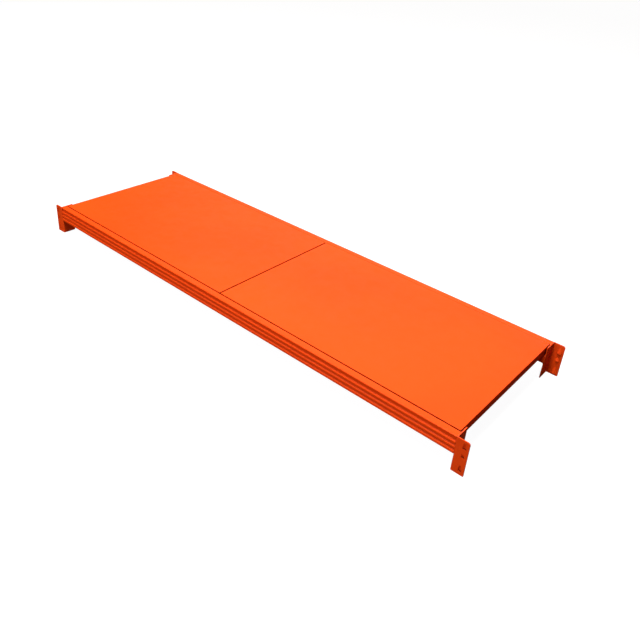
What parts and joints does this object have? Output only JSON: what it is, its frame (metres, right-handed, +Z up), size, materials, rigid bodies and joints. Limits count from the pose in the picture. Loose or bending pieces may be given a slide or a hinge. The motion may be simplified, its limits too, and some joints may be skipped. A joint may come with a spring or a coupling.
{
  "type": "longspan shelf level",
  "caption": "Orange steel shelf level for boltless longspan racking: folded deck panels lie in the steps of grooved beams whose welded angle connectors hook into slotted posts.",
  "frame": {"origin": "midway between the beams and between their ends, on the plane of the connectors' lower edges", "axes": "+X along the beams, +Y from the front beam to the rear beam, +Z up out of the deck"},
  "size_m": [1.93, 0.6, 0.115],
  "materials": {
    "beam_coat": "satin",
    "connector_coat": "satin",
    "deck_coat": "satin"
  },
  "bodies": {
    "root": {"front_beam": "beam_coat", "rear_beam": "beam_coat", "front_right_connector": "connector_coat", "rear_right_connector": "connector_coat", "front_left_connector": "connector_coat", "rear_left_connector": "connector_coat", "left_deck_panel": "deck_coat", "left_stiffener_1": "deck_coat", "left_stiffener_2": "deck_coat", "right_deck_panel": "deck_coat", "right_stiffener_1": "deck_coat", "right_stiffener_2": "deck_coat"}
  },
  "joints": []
}
